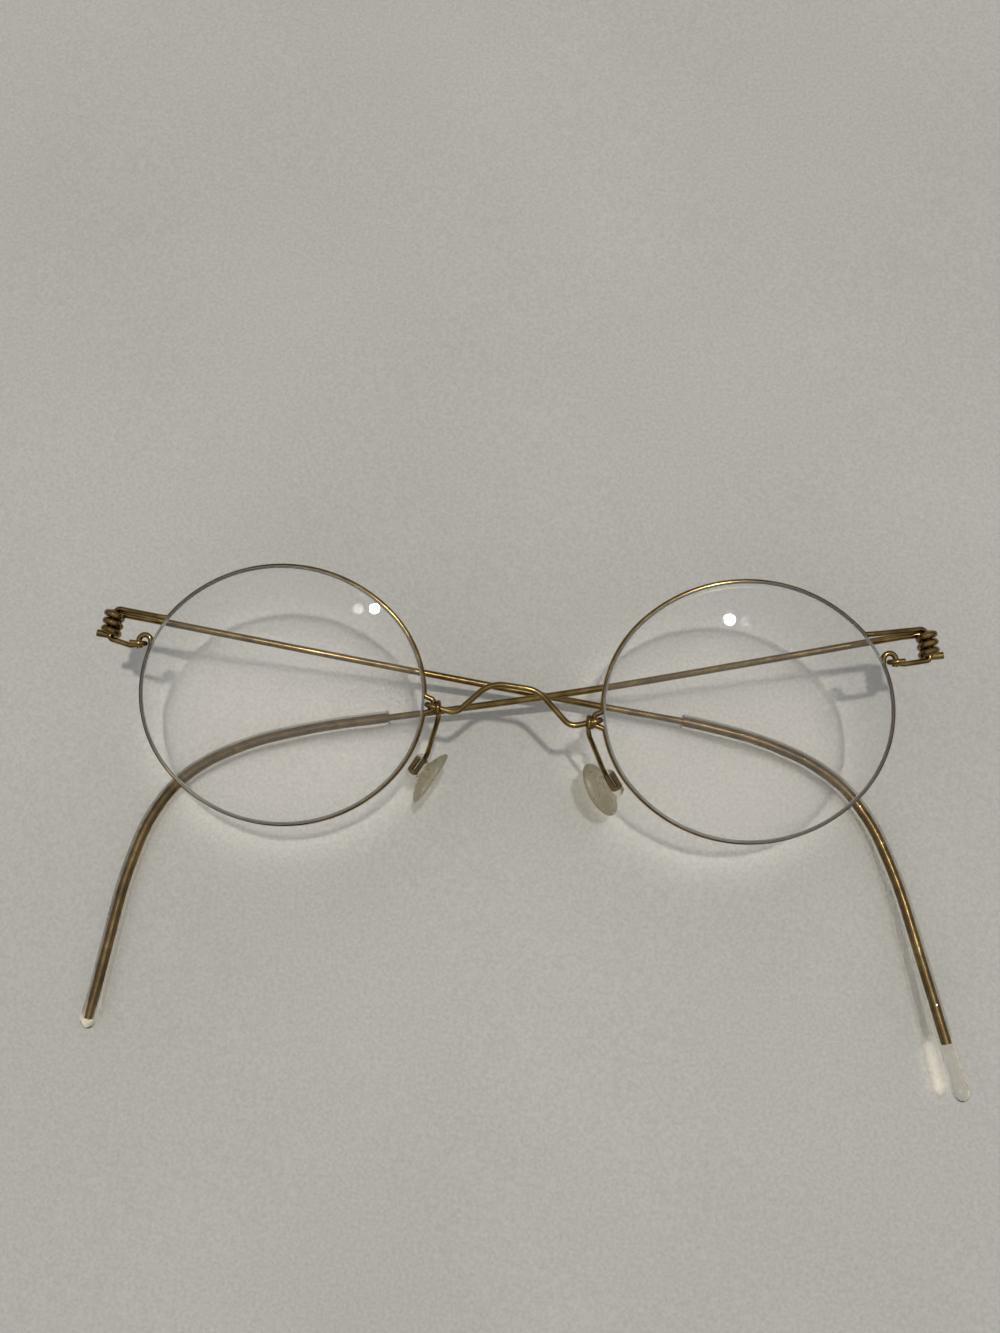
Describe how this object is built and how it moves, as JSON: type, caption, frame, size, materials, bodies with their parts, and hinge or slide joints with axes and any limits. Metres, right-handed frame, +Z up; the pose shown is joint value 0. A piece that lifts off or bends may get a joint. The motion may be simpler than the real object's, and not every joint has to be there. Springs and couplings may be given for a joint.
{
  "type": "eyeglasses",
  "caption": "Round wire-frame eyeglasses with screwless coil hinges, clear lenses and silicone nose pads, lying folded with one temple over the other.",
  "frame": {"origin": "bottom centre of the box round the folded eyeglasses, on the surface they lie on", "axes": "+X along the front to the wearer's left temple, +Y up the front to the brow, +Z up from the surface and out through the front of the lenses"},
  "size_m": [0.13, 0.0722, 0.0192],
  "materials": {
    "wire": "bright drawn wire with a gold-bronze coat",
    "lens": "polished, coated against reflections",
    "sleeve": "clear silicone, lightly scuffed",
    "pad": "satin clear silicone, slightly yellowed"
  },
  "bodies": {
    "front": {"right_rim_wire": "wire", "left_rim_wire": "wire", "right_lens": "lens", "left_lens": "lens", "bridge_wire": "wire", "right_pad_arm": "wire", "left_pad_arm": "wire"},
    "right_temple": {"right_temple_wire": "wire", "right_temple_sleeve": "sleeve"},
    "left_temple": {"left_temple_wire": "wire", "left_temple_sleeve": "sleeve"},
    "right_pad": {"right_nose_pad": "pad"},
    "left_pad": {"left_nose_pad": "pad"}
  },
  "joints": [
    {"name": "right_temple_fold", "type": "hinge", "parent": "front", "child": "right_temple", "pos_m": [-0.06053, 0.02709, 0.01506], "axis": [0.1132, 0.9936, 0], "range_deg": [0, 84]},
    {"name": "left_temple_fold", "type": "hinge", "parent": "front", "child": "left_temple", "pos_m": [0.05667, 0.02808, 0.01522], "axis": [0.1132, -0.9936, 0], "range_deg": [0, 84]},
    {"name": "right_pad_rock", "type": "hinge", "parent": "front", "child": "right_pad", "pos_m": [-0.01575, 0.00871, 0.00891], "axis": [-0.5408, -0.8038, -0.2479], "range_deg": [-12, 12]},
    {"name": "left_pad_rock", "type": "hinge", "parent": "front", "child": "left_pad", "pos_m": [0.01289, 0.00743, 0.0087], "axis": [0.5408, -0.8038, -0.2479], "range_deg": [-12, 12]}
  ]
}
